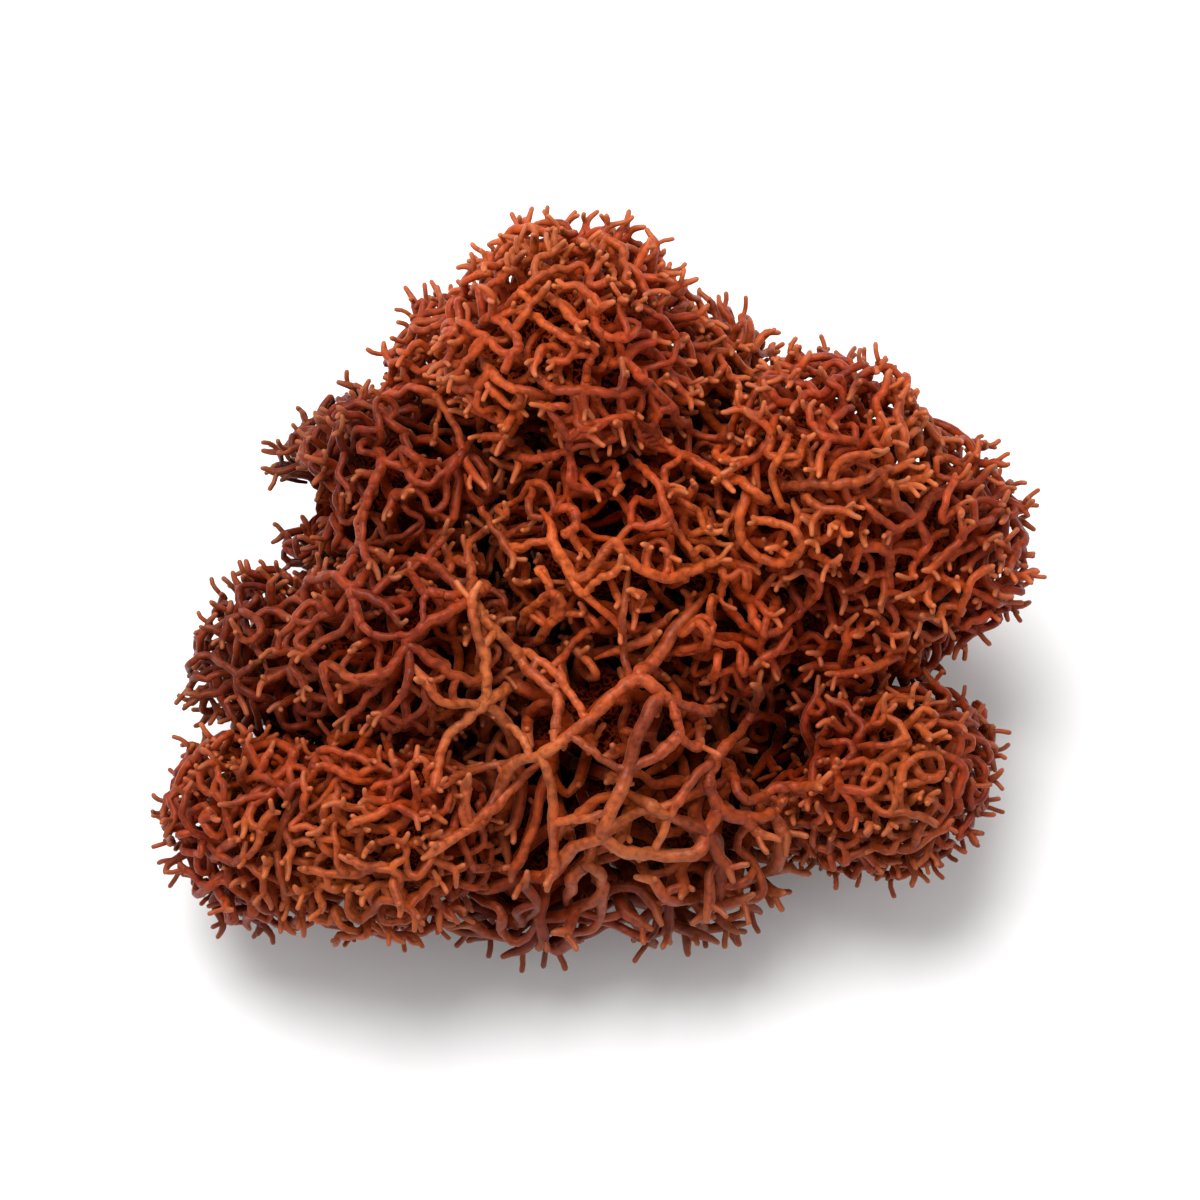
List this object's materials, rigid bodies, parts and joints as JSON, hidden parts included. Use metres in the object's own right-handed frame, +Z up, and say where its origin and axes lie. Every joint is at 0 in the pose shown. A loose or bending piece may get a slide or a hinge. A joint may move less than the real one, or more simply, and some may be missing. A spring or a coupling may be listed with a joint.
{
  "type": "reindeer moss clump",
  "caption": "Loose clump of dyed rust-red reindeer moss, its finely forked heads tangled into one low cushion",
  "frame": {"origin": "centre of the clump's outline, on the surface that it lies on", "axes": "+X across the clump to the right, +Y from its near side to its far side, +Z up"},
  "size_m": [0.0692, 0.0558, 0.0408],
  "materials": {
    "head_back": "soft matt lichen, dyed rust red",
    "head_right": "soft matt lichen, dyed orange red",
    "head_middle": "soft matt lichen, dyed rust red",
    "head_left_back": "soft matt lichen, dyed dark red",
    "head_left": "soft matt lichen, dyed rust red",
    "head_front_left": "soft matt lichen, dyed rust red",
    "stems_front": "smooth matt stems, dyed dull red",
    "head_front_right": "soft matt lichen, dyed orange"
  },
  "bodies": {
    "root": {"head_back": "head_back", "head_right": "head_right", "head_middle": "head_middle", "head_left_back": "head_left_back", "head_left": "head_left", "head_front_left": "head_front_left", "stems_front": "stems_front", "head_front_right": "head_front_right"}
  },
  "joints": []
}
